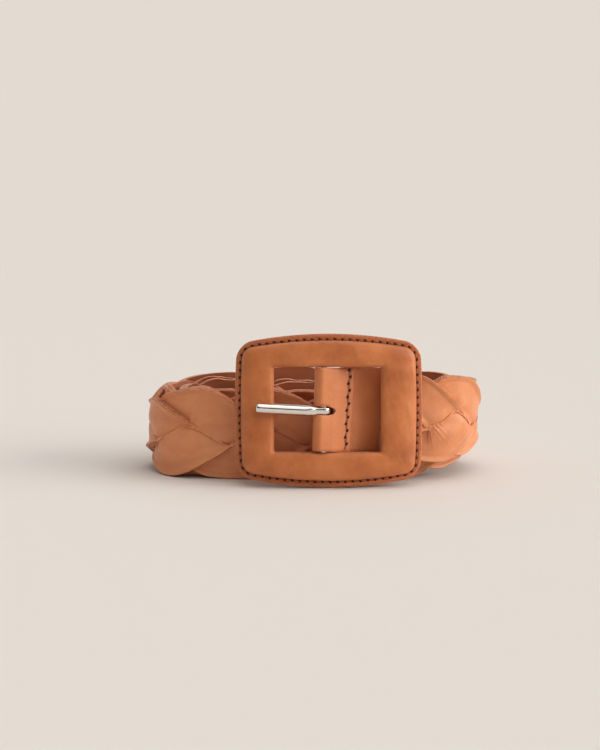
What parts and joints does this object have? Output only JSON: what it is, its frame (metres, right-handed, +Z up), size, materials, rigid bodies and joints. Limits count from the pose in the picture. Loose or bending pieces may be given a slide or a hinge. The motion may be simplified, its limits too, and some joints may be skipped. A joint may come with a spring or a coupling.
{
  "type": "plaited leather belt",
  "caption": "Plaited leather belt wound into an oval coil, with a leather-covered centre-bar buckle and a nickel prong.",
  "frame": {"origin": "middle of the coiled belt's footprint, on the surface it stands on", "axes": "+X along the oval coil's length, towards the turn that the buckle end comes round; +Y away from the buckle's face; +Z up"},
  "size_m": [0.1458, 0.0742, 0.065],
  "materials": {
    "plait_leather": "smooth veg-tanned leather with raw suede cut edges",
    "strap_leather": "smooth pigmented leather, satin",
    "buckle_leather": "smooth pigmented leather stretched over a padded frame, satin",
    "backing_leather": "smooth leather, raw cut edge",
    "frame_core": "moulded, matte",
    "nickel": "polished nickel plate",
    "thread": "waxed thread, matte"
  },
  "bodies": {
    "coil": {"plait_strand_1_coil_1": "plait_leather", "plait_strand_1_coil_2": "plait_leather", "plait_strand_1_coil_3": "plait_leather", "plait_strand_1_coil_4": "plait_leather", "plait_strand_1_coil_5": "plait_leather", "plait_strand_1_coil_6": "plait_leather", "plait_strand_2_coil_1": "plait_leather", "plait_strand_2_coil_2": "plait_leather", "plait_strand_2_coil_3": "plait_leather", "plait_strand_2_coil_4": "plait_leather", "plait_strand_2_coil_5": "plait_leather", "plait_strand_2_coil_6": "plait_leather", "plait_strand_3_coil_1": "plait_leather", "plait_strand_3_coil_2": "plait_leather", "plait_strand_3_coil_3": "plait_leather", "plait_strand_3_coil_4": "plait_leather", "plait_strand_3_coil_5": "plait_leather", "plait_strand_3_coil_6": "plait_leather", "tip_tab_outer": "strap_leather", "tip_tab_inner": "strap_leather", "tip_stitching": "thread"},
    "buckle_end": {"plait_strand_1_lead": "plait_leather", "plait_strand_2_lead": "plait_leather", "plait_strand_3_lead": "plait_leather", "chape_strap": "strap_leather", "strap_facing": "strap_leather", "chape_stitching": "thread", "anchor_stitching": "thread"},
    "buckle": {"buckle_core": "frame_core", "centre_bar": "nickel", "buckle_face_leather": "buckle_leather", "buckle_back_leather": "backing_leather", "buckle_stitching": "thread"},
    "prong": {"prong": "nickel"}
  },
  "joints": [
    {"name": "outer_turn_flex", "type": "hinge", "parent": "coil", "child": "buckle_end", "pos_m": [0.07348, 0.0061, 0.02345], "axis": [0, 0, 1], "range_deg": [0, 60]},
    {"name": "buckle_pivot", "type": "hinge", "parent": "buckle_end", "child": "buckle", "pos_m": [0.00447, -0.03017, 0.03272], "axis": [0, 0.1219, 0.9925], "range_deg": [-4, 1.5]},
    {"name": "prong_pivot", "type": "hinge", "parent": "buckle", "child": "prong", "pos_m": [0.00447, -0.03017, 0.03272], "axis": [0, 0.1219, 0.9925], "range_deg": [0, 100]}
  ]
}
